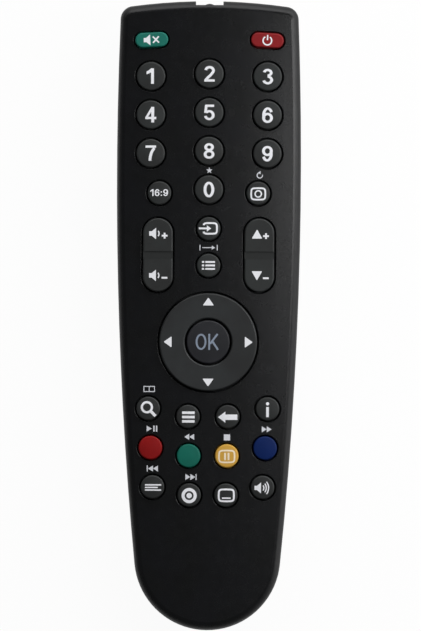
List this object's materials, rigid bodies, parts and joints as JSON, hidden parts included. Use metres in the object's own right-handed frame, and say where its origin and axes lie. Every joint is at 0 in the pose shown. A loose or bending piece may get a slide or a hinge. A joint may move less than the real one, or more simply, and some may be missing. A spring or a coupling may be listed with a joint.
{
  "type": "tv remote control",
  "caption": "Slim black tv remote control with a rounded nose, push keys, two rocker keys, a navigation ring round a confirm key, and a sliding battery door.",
  "frame": {"origin": "centre of the footprint, on the plane that the back rests on", "axes": "+Y towards the end with the infra-red diode, +X to the right seen from the keys, +Z out of the keys' face"},
  "size_m": [0.0556, 0.1899, 0.0241],
  "materials": {
    "case_black": "satin, finely textured black plastic",
    "door_black": "satin, finely textured black plastic",
    "key_grey": "matt grey silicone rubber",
    "rocker_grey": "matt grey",
    "ring_grey": "matt grey",
    "key_teal": "matt green",
    "key_crimson": "matt red",
    "key_red": "matt red",
    "key_green": "matt green",
    "key_yellow": "matt yellow",
    "key_blue": "matt blue",
    "silicone": "soft grey silicone rubber",
    "board": "green solder resist on glass-fibre board",
    "carbon": "printed carbon",
    "chip_black": "moulded epoxy",
    "tinned": "tinned metal",
    "resonator_blue": "dipped ceramic",
    "can_sleeve": "shrunk sleeve",
    "diode_resin": "clear dark resin",
    "cell_wrap": "plain printed can",
    "spring_steel": "nickelled spring steel",
    "screw_steel": "blackened steel"
  },
  "bodies": {
    "case": {"top_shell": "case_black", "rear_shell": "case_black", "ir_led": "diode_resin", "battery_left": "cell_wrap", "battery_right": "cell_wrap", "circuit_board": "board", "contact_pads": "carbon", "keypad_mat": "silicone", "controller_chip": "chip_black", "chip_leads": "tinned", "resonator": "resonator_blue", "capacitor": "can_sleeve", "smd_passives": "chip_black", "drive_transistor": "chip_black", "ir_led_leads": "tinned", "positive_contact": "spring_steel", "negative_contact": "spring_steel", "bridge_contact": "spring_steel", "case_screw": "screw_steel"},
    "battery_door": {"battery_door": "door_black"},
    "nav_pad": {"nav_ring_pad": "silicone"},
    "nav_ring": {"nav_ring": "ring_grey"},
    "key_1": {"key_1": "key_grey"},
    "key_2": {"key_2": "key_grey"},
    "key_3": {"key_3": "key_grey"},
    "key_4": {"key_4": "key_grey"},
    "key_5": {"key_5": "key_grey"},
    "key_6": {"key_6": "key_grey"},
    "key_7": {"key_7": "key_grey"},
    "key_8": {"key_8": "key_grey"},
    "key_9": {"key_9": "key_grey"},
    "key_0": {"key_0": "key_grey"},
    "key_aspect": {"key_aspect": "key_grey"},
    "key_repeat": {"key_repeat": "key_grey"},
    "key_source": {"key_source": "key_grey"},
    "key_guide": {"key_guide": "key_grey"},
    "key_zoom": {"key_zoom": "key_grey"},
    "key_menu": {"key_menu": "key_grey"},
    "key_back": {"key_back": "key_grey"},
    "key_info": {"key_info": "key_grey"},
    "key_red": {"key_red": "key_red"},
    "key_green": {"key_green": "key_green"},
    "key_yellow": {"key_yellow": "key_yellow"},
    "key_blue": {"key_blue": "key_blue"},
    "key_text": {"key_text": "key_grey"},
    "key_record": {"key_record": "key_grey"},
    "key_subtitle": {"key_subtitle": "key_grey"},
    "key_audio": {"key_audio": "key_grey"},
    "key_ok": {"key_ok": "key_grey"},
    "key_mute": {"key_mute": "key_teal"},
    "key_power": {"key_power": "key_crimson"},
    "key_volume": {"key_volume": "rocker_grey"},
    "key_programme": {"key_programme": "rocker_grey"}
  },
  "joints": [
    {"name": "battery_door_slide", "type": "slide", "parent": "case", "child": "battery_door", "axis": [0, -1, 0], "range_m": [0, 0.07]},
    {"name": "key_1_press", "type": "slide", "parent": "case", "child": "key_1", "axis": [0, 0, -1], "range_m": [0, 0.0009], "stiffness_N_per_m": 1000, "springref_m": -0.0001, "deforming": ["keypad_mat"]},
    {"name": "key_2_press", "type": "slide", "parent": "case", "child": "key_2", "axis": [0, 0, -1], "range_m": [0, 0.0009], "stiffness_N_per_m": 1000, "springref_m": -0.0001, "deforming": ["keypad_mat"]},
    {"name": "key_3_press", "type": "slide", "parent": "case", "child": "key_3", "axis": [0, 0, -1], "range_m": [0, 0.0009], "stiffness_N_per_m": 1000, "springref_m": -0.0001, "deforming": ["keypad_mat"]},
    {"name": "key_4_press", "type": "slide", "parent": "case", "child": "key_4", "axis": [0, 0, -1], "range_m": [0, 0.0009], "stiffness_N_per_m": 1000, "springref_m": -0.0001, "deforming": ["keypad_mat"]},
    {"name": "key_5_press", "type": "slide", "parent": "case", "child": "key_5", "axis": [0, 0, -1], "range_m": [0, 0.0009], "stiffness_N_per_m": 1000, "springref_m": -0.0001, "deforming": ["keypad_mat"]},
    {"name": "key_6_press", "type": "slide", "parent": "case", "child": "key_6", "axis": [0, 0, -1], "range_m": [0, 0.0009], "stiffness_N_per_m": 1000, "springref_m": -0.0001, "deforming": ["keypad_mat"]},
    {"name": "key_7_press", "type": "slide", "parent": "case", "child": "key_7", "axis": [0, 0, -1], "range_m": [0, 0.0009], "stiffness_N_per_m": 1000, "springref_m": -0.0001, "deforming": ["keypad_mat"]},
    {"name": "key_8_press", "type": "slide", "parent": "case", "child": "key_8", "axis": [0, 0, -1], "range_m": [0, 0.0009], "stiffness_N_per_m": 1000, "springref_m": -0.0001, "deforming": ["keypad_mat"]},
    {"name": "key_9_press", "type": "slide", "parent": "case", "child": "key_9", "axis": [0, 0, -1], "range_m": [0, 0.0009], "stiffness_N_per_m": 1000, "springref_m": -0.0001, "deforming": ["keypad_mat"]},
    {"name": "key_0_press", "type": "slide", "parent": "case", "child": "key_0", "axis": [0, 0, -1], "range_m": [0, 0.0009], "stiffness_N_per_m": 1000, "springref_m": -0.0001, "deforming": ["keypad_mat"]},
    {"name": "key_aspect_press", "type": "slide", "parent": "case", "child": "key_aspect", "axis": [0, 0, -1], "range_m": [0, 0.0009], "stiffness_N_per_m": 1000, "springref_m": -0.0001, "deforming": ["keypad_mat"]},
    {"name": "key_repeat_press", "type": "slide", "parent": "case", "child": "key_repeat", "axis": [0, 0, -1], "range_m": [0, 0.0009], "stiffness_N_per_m": 1000, "springref_m": -0.0001, "deforming": ["keypad_mat"]},
    {"name": "key_source_press", "type": "slide", "parent": "case", "child": "key_source", "axis": [0, 0, -1], "range_m": [0, 0.0009], "stiffness_N_per_m": 1000, "springref_m": -0.0001, "deforming": ["keypad_mat"]},
    {"name": "key_guide_press", "type": "slide", "parent": "case", "child": "key_guide", "axis": [0, 0, -1], "range_m": [0, 0.0009], "stiffness_N_per_m": 1000, "springref_m": -0.0001, "deforming": ["keypad_mat"]},
    {"name": "key_zoom_press", "type": "slide", "parent": "case", "child": "key_zoom", "axis": [0, 0, -1], "range_m": [0, 0.0009], "stiffness_N_per_m": 1000, "springref_m": -0.0001, "deforming": ["keypad_mat"]},
    {"name": "key_menu_press", "type": "slide", "parent": "case", "child": "key_menu", "axis": [0, 0, -1], "range_m": [0, 0.0009], "stiffness_N_per_m": 1000, "springref_m": -0.0001, "deforming": ["keypad_mat"]},
    {"name": "key_back_press", "type": "slide", "parent": "case", "child": "key_back", "axis": [0, 0, -1], "range_m": [0, 0.0009], "stiffness_N_per_m": 1000, "springref_m": -0.0001, "deforming": ["keypad_mat"]},
    {"name": "key_info_press", "type": "slide", "parent": "case", "child": "key_info", "axis": [0, 0, -1], "range_m": [0, 0.0009], "stiffness_N_per_m": 1000, "springref_m": -0.0001, "deforming": ["keypad_mat"]},
    {"name": "key_red_press", "type": "slide", "parent": "case", "child": "key_red", "axis": [0, 0, -1], "range_m": [0, 0.0009], "stiffness_N_per_m": 1000, "springref_m": -0.0001, "deforming": ["keypad_mat"]},
    {"name": "key_green_press", "type": "slide", "parent": "case", "child": "key_green", "axis": [0, 0, -1], "range_m": [0, 0.0009], "stiffness_N_per_m": 1000, "springref_m": -0.0001, "deforming": ["keypad_mat"]},
    {"name": "key_yellow_press", "type": "slide", "parent": "case", "child": "key_yellow", "axis": [0, 0, -1], "range_m": [0, 0.0009], "stiffness_N_per_m": 1000, "springref_m": -0.0001, "deforming": ["keypad_mat"]},
    {"name": "key_blue_press", "type": "slide", "parent": "case", "child": "key_blue", "axis": [0, 0, -1], "range_m": [0, 0.0009], "stiffness_N_per_m": 1000, "springref_m": -0.0001, "deforming": ["keypad_mat"]},
    {"name": "key_text_press", "type": "slide", "parent": "case", "child": "key_text", "axis": [0, 0, -1], "range_m": [0, 0.0009], "stiffness_N_per_m": 1000, "springref_m": -0.0001, "deforming": ["keypad_mat"]},
    {"name": "key_record_press", "type": "slide", "parent": "case", "child": "key_record", "axis": [0, 0, -1], "range_m": [0, 0.0009], "stiffness_N_per_m": 1000, "springref_m": -0.0001, "deforming": ["keypad_mat"]},
    {"name": "key_subtitle_press", "type": "slide", "parent": "case", "child": "key_subtitle", "axis": [0, 0, -1], "range_m": [0, 0.0009], "stiffness_N_per_m": 1000, "springref_m": -0.0001, "deforming": ["keypad_mat"]},
    {"name": "key_audio_press", "type": "slide", "parent": "case", "child": "key_audio", "axis": [0, 0, -1], "range_m": [0, 0.0009], "stiffness_N_per_m": 1000, "springref_m": -0.0001, "deforming": ["keypad_mat"]},
    {"name": "key_ok_press", "type": "slide", "parent": "case", "child": "key_ok", "axis": [0, 0, -1], "range_m": [0, 0.0009], "stiffness_N_per_m": 1000, "springref_m": -0.0001, "deforming": ["keypad_mat"]},
    {"name": "key_mute_press", "type": "slide", "parent": "case", "child": "key_mute", "axis": [0, 0, -1], "range_m": [0, 0.0009], "stiffness_N_per_m": 1000, "springref_m": -0.0001, "deforming": ["keypad_mat"]},
    {"name": "key_power_press", "type": "slide", "parent": "case", "child": "key_power", "axis": [0, 0, -1], "range_m": [0, 0.0009], "stiffness_N_per_m": 1000, "springref_m": -0.0001, "deforming": ["keypad_mat"]},
    {"name": "key_volume_rock", "type": "hinge", "parent": "case", "child": "key_volume", "pos_m": [-0.0153, 0.0183, 0.0183], "axis": [1, 0, 0], "range_deg": [-3.5, 3.5], "stiffness_Nm_per_rad": 0.18, "deforming": ["keypad_mat"]},
    {"name": "key_programme_rock", "type": "hinge", "parent": "case", "child": "key_programme", "pos_m": [0.0153, 0.0183, 0.0183], "axis": [1, 0, 0], "range_deg": [-3.5, 3.5], "stiffness_Nm_per_rad": 0.18, "deforming": ["keypad_mat"]},
    {"name": "nav_up_down", "type": "hinge", "parent": "case", "child": "nav_pad", "pos_m": [0, -0.00794, 0.0205], "axis": [1, 0, 0], "range_deg": [-2.5, 2.5], "stiffness_Nm_per_rad": 0.4, "deforming": ["keypad_mat"]},
    {"name": "nav_left_right", "type": "hinge", "parent": "nav_pad", "child": "nav_ring", "pos_m": [0, -0.00794, 0.0205], "axis": [0, 1, 0], "range_deg": [-2.5, 2.5], "stiffness_Nm_per_rad": 0.4, "deforming": ["nav_ring_pad"]}
  ]
}
